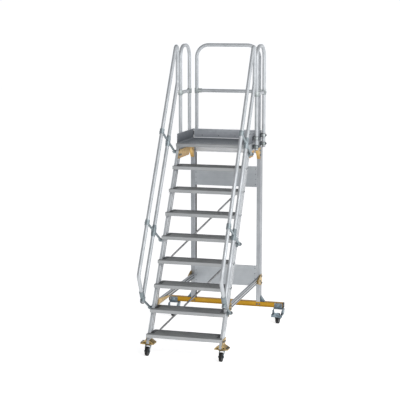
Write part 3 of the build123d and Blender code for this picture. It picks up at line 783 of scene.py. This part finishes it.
def guardPosts():
    # each post's X and Y, the way along its knee rail and the way out from the platform
    posts = []
    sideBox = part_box("side_guard_right")
    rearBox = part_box("rear_guard")
    front, rear = sideBox[0].y + tubeRadius, sideBox[1].y - tubeRadius
    for side in (1, -1):
        posts.append((side * railX, front, (0, 1, 0), (side, 0, 0)))
        posts.append((side * railX, rear, (0, -1, 0), (side, 0, 0)))
        rearX = side * (rearBox[1].x - tubeRadius)
        posts.append((rearX, (rearBox[0].y + rearBox[1].y) / 2, (-side, 0, 0), (0, 1, 0)))
    return posts


def makeGuardFixings():
    setup = guardSetup
    liner, linerRadius = setup["liner"], setup["linerRadius"]
    linerRows = [(tubeRadius, 0.0), (linerRadius, 0.0), (linerRadius, liner), (tubeRadius, liner)]
    screws = bmesh.new()
    blacks = bmesh.new()
    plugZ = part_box("side_guard_right")[0].z
    for x, y, along, out in guardPosts():
        along, out = Vector(along), Vector(out)
        middle = Vector((x, y, setup["kneeZ"]))
        addShape(screws, middle + out * collarRadius, out, "screw", setup["screwRadius"])
        socket = middle + along * setup["socketOut"] + out * (collarRadius - setup["socketStep"])
        addShape(screws, socket, out, "screw", setup["screwRadius"])
        for z in setup["clampHeights"]:
            clamp = Vector((x, y, z))
            addShape(screws, clamp + out * collarRadius, out, "hexBolt", setup["clampFlats"])
            face = clamp - out * (tubeRadius + setup["reveal"])
            across = zUp.cross(out)
            # the black plate stands partly for clamp parts and partly for dark shade and reflection on
            # the beam: painted shade
            addPlate(blacks, face, across, zUp, setup["plate"], setup["chamfer"])
            for way in (-1, 1):
                bolt = face + across * way * setup["plateBolt"] + out * setup["plate"][2]
                addShape(screws, bolt, out, "hexBolt", setup["plateFlats"])
                edge = clamp + zUp * way * setup["clampHalf"]
                addTurned(blacks, edge, zUp * way, linerRows, ring=True)
        addShape(blacks, (x, y, plugZ), -zUp, "plug", tubeRadius)
    finishPiece("guardFixings", screws, "zinc_steel", boltFinish)
    finishPiece("guardClampPlates", blacks, "black_plastic")


# Tread bolts on the outside of the stringers, two at each tread that no bracket covers
treadBoltSetup = {"treads": range(3, 9), "below": 0.014, "flats": 0.010}


def makeTreadBolts():
    setup = treadBoltSetup
    bolts = bmesh.new()
    for number in setup["treads"]:
        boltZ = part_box(f"tread_{number}")[1].z - setup["below"]
        for above in stringerGrooves:
            addPair(bolts, flightPointAt(outerX, boltZ, above), (1, 0, 0), "hexBolt", setup["flats"])
    finishPiece("treadBolts", bolts, "zinc_steel", boltFinish)


# Tie rods: spacer tubes on each rod, clear of the treads that it passes
tieRodSetup = {"pad": 0.010, "rod": 0.007, "sleeve": 0.0105, "gapShares": (0.02, 0.045), "spans": 3}


def rodEnds(name):
    # the middles of a rod's two end pads
    low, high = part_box(f"brace_rod_{name}")
    pad = tieRodSetup["pad"]
    top = Vector((high.x - pad, high.y - tieRodSetup["rod"], high.z - pad))
    rise = high.z - low.z - 2 * pad
    foot = Vector((low.x + pad, top.y - rise * cos(pitch) / sin(pitch), low.z + pad))
    return foot, top


def makeRodSleeves():
    setup = tieRodSetup
    above, below = setup["gapShares"]
    share = 1 / setup["spans"]
    sleeves = bmesh.new()
    for name in ("lower", "upper"):
        foot, top = rodEnds(name)
        run = top - foot
        length = run.length * (share - above - below)
        for span in range(setup["spans"]):
            start = foot + run * (span * share + above)
            addBead(sleeves, start, run.normalized(), setup["sleeve"], length)
    finishPiece("rodSleeves", sleeves, "zinc_steel", rodFinish)


# Bolts through the yellow castings, and the nuts of the tie rods behind the treads
castingSetup = {
    "flats": 0.013, "smallFlats": 0.010, "rivetRadius": 0.005,
    "headZ": 0.044, "headAboves": (-0.074, -0.122),
    "headRivets": (0.10, 0.18, 0.26, 0.34, 0.42), "headRivetZ": 0.007,
    "postSpots": ((0.018, 0.045), (0.036, 0.103)),
    "cheekSpots": ((0.020, 0.040), (0.020, -0.040), (0.105, 0.0)),
    "shoeWall": 0.008, "shoeBack": 0.036, "shoeUp": 0.018,
    "tongueRivets": (0.09, 0.2, 0.31), "tongueDrop": 0.006,
    "wingEdge": 0.012, "wingYs": (0.022, 0.080), "wingZ": 0.0185,
    "neckZ": 0.076, "neckAboves": (-0.078, -0.120),
    "heelShift": 0.015, "heelDrop": 0.030,
}


def castingSpots():
    # right-hand places and axes: the big bolts, the small ones, the rivets
    setup = castingSetup
    out, inward = (1, 0, 0), (-1, 0, 0)
    postLow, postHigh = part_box("post_heads")
    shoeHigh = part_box("strut_brackets")[1]
    footLow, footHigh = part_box("foot_brackets")
    traverseLow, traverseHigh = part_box("traverse")
    strutLow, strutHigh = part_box("side_strut_right")
    strutZ = (strutLow.z + strutHigh.z) / 2
    plateX = innerX - setup["shoeWall"]
    shoeX = outerX + setup["shoeWall"]
    seatY = flightPointAt(0, strutZ, stringerBack)[1]
    big = []
    for above in setup["headAboves"]:
        big.append((flightPointAt(plateX, beamZ - setup["headZ"], above), inward))
    for back, lift in setup["postSpots"]:
        big.append(((postHigh.x, postHigh.y - back, postLow.z + lift), out))
    for back, lift in setup["cheekSpots"]:
        big.append(((shoeHigh.x, shoeHigh.y - back, strutZ + lift), out))
    for lift in (-setup["shoeUp"], setup["shoeUp"]):
        big.append(((shoeX, seatY + setup["shoeBack"], strutZ + lift), out))
    for y in setup["wingYs"]:
        wing = (footHigh.x - setup["wingEdge"], footLow.y + y, footLow.z + setup["wingZ"])
        big.append((wing, zUp))
    for above in setup["neckAboves"]:
        big.append((flightPointAt(shoeX, footLow.z + setup["neckZ"], above), out))
    postX = (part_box("rear_post_right")[0].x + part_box("rear_post_right")[1].x) / 2
    small = []
    for shift in (-setup["heelShift"], setup["heelShift"]):
        small.append(((postX + shift, traverseLow.y, traverseHigh.z - setup["heelDrop"]), (0, -1, 0)))
    rivets = [((plateX, nosingY + y, beamZ + setup["headRivetZ"]), inward) for y in setup["headRivets"]]
    for y in setup["tongueRivets"]:
        rivets.append(((plateX, seatY + y, strutZ - setup["tongueDrop"]), inward))
    return big, small, rivets


def makeCastingBolts():
    setup = castingSetup
    kinds = (
        ("hexBolt", setup["flats"]), ("hexBolt", setup["smallFlats"]), ("rivet", setup["rivetRadius"]),
    )
    bolts = bmesh.new()
    for spots, (shapeName, size) in zip(castingSpots(), kinds):
        for place, axis in spots:
            addPair(bolts, place, axis, shapeName, size)
    back = Vector((0, tieRodSetup["rod"], 0))
    for name in ("lower", "upper"):
        for end in rodEnds(name):
            addShape(bolts, end + back, (0, 1, 0), "nut", setup["flats"])
    finishPiece("castingBolts", bolts, "zinc_steel", boltFinish)


# Groove shade: dark strips laid in the grooves of the stringers and struts and along the posts' inner
# sides, painted shadow standing for the shade in them
grooveShadeSetup = {
    "groove": 0.002, "thick": 0.0025, "chamfer": 0.0005,
    "strutShare": 0.25, "strutStripWidth": 0.009,
    "stringerStripWidth": 0.006, "stringerZs": (0.30, 2.03),
    "postY": 0.018, "postStripWidth": 0.040, "postTop": 1.985,
}


def makeGrooveShadeStrips():
    setup = grooveShadeSetup
    covers = bmesh.new()
    square = (0, -sin(pitch), cos(pitch))
    strutLow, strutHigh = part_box("side_strut_right")
    seatY = flightPointAt(0, strutHigh.z, stringerBack)[1]
    lift = setup["strutShare"] * (strutHigh.z - strutLow.z)
    middleZ = (strutLow.z + strutHigh.z) / 2
    strutSize = (strutHigh.y - seatY, setup["strutStripWidth"], setup["thick"])
    lowZ, highZ = setup["stringerZs"]
    stringerSize = ((highZ - lowZ) / sin(pitch), setup["stringerStripWidth"], setup["thick"])
    postLow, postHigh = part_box("rear_post_right")
    postSize = (setup["postStripWidth"], setup["postTop"] - postLow.z, setup["thick"])
    postY = (postLow.y + postHigh.y) / 2 + setup["postY"]
    for side in (-1, 1):
        for faceX, way in ((outerX - setup["groove"], side), (innerX + setup["groove"], -side)):
            for shift in (-lift, lift):
                place = (side * faceX, (seatY + strutHigh.y) / 2, middleZ + shift)
                addPlate(covers, place, (0, way, 0), zUp, strutSize, setup["chamfer"])
            for above in stringerGrooves:
                place = flightPointAt(side * faceX, (lowZ + highZ) / 2, above)
                along = (0, way * cos(pitch), way * sin(pitch))
                addPlate(covers, place, along, square, stringerSize, setup["chamfer"])
        place = (side * postLow.x, postY, (setup["postTop"] + postLow.z) / 2)
        addPlate(covers, place, (0, -side, 0), zUp, postSize, setup["chamfer"])
    # near-black strips: painted shadow
    finishPiece("grooveShadeStrips", covers, "black_plastic", grooveShadeFinish)


# Rear saddles: two bolts through each side of the cross tube
saddleSetup = {"spread": 0.027, "height": 0.036, "flats": 0.013}


def makeSaddleBolts():
    setup = saddleSetup
    low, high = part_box("castor_saddles")
    castorX = (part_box("fork_rear_right")[0].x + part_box("fork_rear_right")[1].x) / 2
    bolts = bmesh.new()
    for y, way in ((low.y, -1), (high.y, 1)):
        for shift in (-setup["spread"], setup["spread"]):
            place = (castorX + shift, y, low.z + setup["height"])
            addPair(bolts, place, (0, way, 0), "hexBolt", setup["flats"])
    finishPiece("saddleBolts", bolts, "zinc_steel", boltFinish)


# Raised faces on the cross tube's black end caps
capSetup = {"face": (0.044, 0.044, 0.0014), "chamfer": 0.001}


def makeCapFaces():
    setup = capSetup
    low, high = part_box("traverse_caps")
    middle = (low + high) / 2
    faces = bmesh.new()
    for x, way in ((low.x, -1), (high.x, 1)):
        place = (x, middle.y, middle.z)
        addPlate(faces, place, (0, way, 0), zUp, setup["face"], setup["chamfer"])
    finishPiece("capFaces", faces, "black_plastic")


# Rear panels: domed rivets down both edges
panelSetup = {"edge": 0.014, "heights": (0.03, 0.09, 0.15, 0.21), "radius": 0.0055}


def makePanelRivets():
    setup = panelSetup
    rivets = bmesh.new()
    for nodeName in ("rear_panel_lower", "rear_panel_upper"):
        low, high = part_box(nodeName)
        for height in setup["heights"]:
            spot = (high.x - setup["edge"], low.y, low.z + height)
            addPair(rivets, spot, (0, -1, 0), "rivet", setup["radius"])
    finishPiece("panelRivets", rivets, "zinc_steel", boltFinish)


# Toe boards: a bead along the deck, bright on the rear one with the tie beam's painted light, and
# rivets into the beams
toeSetup = {"thickness": 0.010, "bead": 0.0065, "rivetLift": 0.030, "rivets": 4, "rivetRadius": 0.006}


def makeToeTrim():
    setup = toeSetup
    rearLow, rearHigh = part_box("toe_board_rear")
    sideLow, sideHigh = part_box("toe_board_right")
    rearFace = rearHigh.y - setup["thickness"]
    sideFace = sideHigh.x - setup["thickness"]
    rearBead = bmesh.new()
    addBead(rearBead, (-sideFace, rearFace, deckZ), (1, 0, 0), setup["bead"], 2 * sideFace)
    # the rear bead takes the tie beam's finish: painted light
    finishPiece("rearToeBead", rearBead, "frame_aluminium", nodeFinishes["post_tie_beam"])
    sideBeads = bmesh.new()
    for side in (-1, 1):
        start = (side * sideFace, sideLow.y, deckZ)
        addBead(sideBeads, start, (0, 1, 0), setup["bead"], rearFace - sideLow.y)
    finishPiece("sideToeBeads", sideBeads, "frame_aluminium", toeFinish)
    rivets = bmesh.new()
    rivetZ = deckZ + setup["rivetLift"]
    for index in range(setup["rivets"]):
        share = (index + 0.5) / setup["rivets"]
        y = sideLow.y + share * (sideHigh.y - sideLow.y)
        addPair(rivets, (sideFace, y, rivetZ), (-1, 0, 0), "rivet", setup["rivetRadius"])
        x = rearLow.x * (1 - 2 * share)
        addShape(rivets, (x, rearFace, rivetZ), (0, -1, 0), "rivet", setup["rivetRadius"])
    finishPiece("toeBoardRivets", rivets, "zinc_steel", boltFinish)


# Treads: a rounded bead along the lip's lower edge and a bright one along the back
lipSetup = {
    "treads": range(1, 9), "radius": 0.004, "inset": 0.002, "backRadius": 0.003, "backInset": 0.004,
}


def makeTreadLips():
    setup = lipSetup
    radius, inset = setup["radius"], setup["inset"]
    lips = bmesh.new()
    backs = bmesh.new()
    for number in setup["treads"]:
        low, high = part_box(f"tread_{number}")
        lip = (low.x + inset, low.y + radius, low.z + radius / 2)
        addBead(lips, lip, (1, 0, 0), radius, high.x - low.x - 2 * inset)
        backX = innerX - setup["backInset"]
        back = (-backX, high.y - setup["backRadius"], high.z)
        addBead(backs, back, (1, 0, 0), setup["backRadius"], 2 * backX)
    finishPiece("treadLipBeads", lips, "tread_aluminium")
    finishPiece("treadBackBeads", backs, "frame_aluminium")


def wheelBox(corner):
    # a wheel's middle, radius and half width, from its tyre
    low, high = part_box(f"tyre_{corner}")
    return (low + high) / 2, (high.z - low.z) / 2, (high.x - low.x) / 2


# Tyres: rounded shoulders and two grooves in the tread; shares are of the radius and the half width
tyreSetup = {
    "seatShare": 0.8, "wallShares": (0.86, 0.87), "wallStep": 0.0006,
    "shoulder": 0.006, "shoulderSteps": 6,
    "grooveShare": 0.34, "groove": 0.0012, "grooveHalf": 0.0012, "grooveSlope": 1.6,
    "steps": 64,
}


def tyreProfile(radius, half):
    # radius and reach from the seat round one shoulder to the middle of the tread
    setup = tyreSetup
    shoulder, slope, groove = setup["shoulder"], setup["grooveSlope"], setup["groove"]
    inner, outer = setup["wallShares"]
    profile = [
        (setup["seatShare"] * radius, half), (inner * radius, half),
        (outer * radius, half - setup["wallStep"]),
    ]
    for step in range(setup["shoulderSteps"]):
        angle = step * pi / 2 / (setup["shoulderSteps"] - 1)
        inset, drop = shoulder * (1 - cos(angle)), shoulder * (1 - sin(angle))
        profile.append((radius - drop, half - inset))
    for reach, depth in ((slope, 0.0), (1.0, groove), (-1.0, groove), (-slope, 0.0)):
        profile.append((radius - depth, setup["grooveShare"] * half + reach * setup["grooveHalf"]))
    return profile


def makeTyre(corner):
    middle, radius, half = wheelBox(corner)
    profile = tyreProfile(radius, half)
    rows = profile + [(out, -reach) for out, reach in reversed(profile)]
    tyre = bmesh.new()
    addTurned(tyre, middle, (1, 0, 0), rows, tyreSetup["steps"], ring=True)
    piece = finishPiece(f"tyre.{corner}", tyre, "wheel_rubber", body=f"wheel_{corner}")
    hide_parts(f"tyre_{corner}")


# Hub covers: a dished disc on each side of a wheel, with a raised rim and a raised ring round the axle
hubSetup = {
    "axleRing": 0.0163, "coverIn": 0.0085, "coverOut": 0.0035, "rim": 0.0046, "dish": 0.0022,
    "rimShares": (0.94, 0.84), "ringShares": (1.5, 1.35), "steps": 48,
}


def makeHubCovers(corner):
    setup = hubSetup
    middle, radius, half = wheelBox(corner)
    rim, ring = tyreSetup["seatShare"] * radius - setup["rim"], setup["axleRing"]
    deep, proud = half - setup["coverIn"], half - setup["coverOut"]
    dished = proud - setup["dish"]
    rimFlat, rimFoot = (share * rim for share in setup["rimShares"])
    ringFoot, ringFlat = (share * ring for share in setup["ringShares"])
    rows = [
        (rim, deep), (rim, proud), (rimFlat, proud), (rimFoot, dished),
        (ringFoot, dished), (ringFlat, proud), (ring, proud), (ring, deep),
    ]
    covers = bmesh.new()
    for way in (-1, 1):
        addTurned(covers, middle, (way, 0, 0), rows, setup["steps"], ring=True)
    finishPiece(f"hubCovers.{corner}", covers, "hub_plastic", body=f"wheel_{corner}")


# Forks: a nut on each end of the axle, and a cup round the ball race under the head's plate
forkSetup = {
    "axleOut": 0.009, "nutFlats": 0.0185, "headPlate": 0.004, "cupRadius": 0.0285, "cupBore": 0.0225,
    "cupShare": 0.55, "cupStraight": 0.6, "cupTop": 0.95, "cupSteps": 32,
}


def makeForkFixings(corner):
    setup = forkSetup
    middle, _, half = wheelBox(corner)
    fixings = bmesh.new()
    for way in (-1, 1):
        axleEnd = middle + Vector((way * (half + setup["axleOut"]), 0, 0))
        addShape(fixings, axleEnd, (way, 0, 0), "nut", setup["nutFlats"])
    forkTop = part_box(f"fork_{corner}")[1].z
    headNode = "castor_saddles" if corner.startswith("rear") else "foot_brackets"
    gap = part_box(headNode)[0].z - setup["headPlate"] - forkTop
    radius, bore, rise = setup["cupRadius"], setup["cupBore"], setup["cupShare"] * gap
    addTurned(fixings, (*swivels[corner], forkTop), zUp, [
        (bore, 0.0), (radius, 0.0), (radius, setup["cupStraight"] * rise),
        (setup["cupTop"] * radius, rise), (bore, rise),
    ], setup["cupSteps"], ring=True)
    finishPiece(f"forkFixings.{corner}", fixings, "zinc_steel", body=f"fork_{corner}")


# Webs turned in along the rear fork legs' front edges: corners are X from the fork's middle and Z from
# the floor, the edge's top is Y from the swivel axis and Z from the floor
webSetup = {
    "corners": ((0.0305, 0.0821), (0.062, 0.1045), (0.062, 0.150), (0.0575, 0.161), (0.046, 0.161)),
    "sheet": 0.003, "edgeTop": (-0.0458, 0.170), "edgeSlope": 0.13153,
}


def addForkWebs(bm, corner):
    setup = webSetup
    pivotX, pivotY = swivels[corner]
    topY, topZ = setup["edgeTop"]
    slope = setup["edgeSlope"]
    inward = Vector((0, 1, -slope)).normalized()
    for way in (-1, 1):
        rings = []
        for reach in (0.0, setup["sheet"]):
            ring = []
            for x, z in setup["corners"]:
                spot = Vector((pivotX + way * x, pivotY + topY - (topZ - z) * slope, z))
                ring.append(bm.verts.new(spot + inward * reach))
            rings.append(ring)
        joinRings(bm, rings)


# Brakes: a rolled edge, two bolts and a raised pedal plate on each rear shoe
brakeSetup = {
    "edge": 0.0032, "inset": 0.004, "boltX": 0.050, "boltDrop": 0.012, "flats": 0.010,
    "shoeTop": 0.1185, "pedal": (0.058, 0.038, 0.003), "pedalLift": 0.006, "chamfer": 0.0006,
}


def makeBrake(corner):
    setup = brakeSetup
    low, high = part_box(f"fork_{corner}")
    pivotX = swivels[corner][0]
    shoeTop = setup["shoeTop"]
    brake = bmesh.new()
    edgeLength = high.x - low.x - 2 * setup["inset"]
    edgeStart = (low.x + setup["inset"], low.y + setup["edge"] / 2, shoeTop)
    addBead(brake, edgeStart, (1, 0, 0), setup["edge"], edgeLength)
    pedalPlace = (pivotX, low.y, shoeTop + setup["pedalLift"])
    addPlate(brake, pedalPlace, (1, 0, 0), zUp, setup["pedal"], setup["chamfer"])
    for way in (-1, 1):
        bolt = (pivotX + way * setup["boltX"], low.y, shoeTop - setup["boltDrop"])
        addShape(brake, bolt, (0, -1, 0), "hexBolt", setup["flats"])
    addForkWebs(brake, corner)
    finishPiece(f"brake.{corner}", brake, "zinc_steel", body=f"fork_{corner}")


makeBracketFixings()
makeHandrailTrim()
makeGuardFixings()
makeTreadBolts()
makeCastingBolts()
makeGrooveShadeStrips()
makeSaddleBolts()
makeCapFaces()
makePanelRivets()
makeToeTrim()
makeTreadLips()
makeRodSleeves()
print("fixings and trim made")
for corner in corners:
    makeTyre(corner)
    makeHubCovers(corner)
    makeForkFixings(corner)
    if corner.startswith("rear"):
        makeBrake(corner)
print("wheels and brakes made")
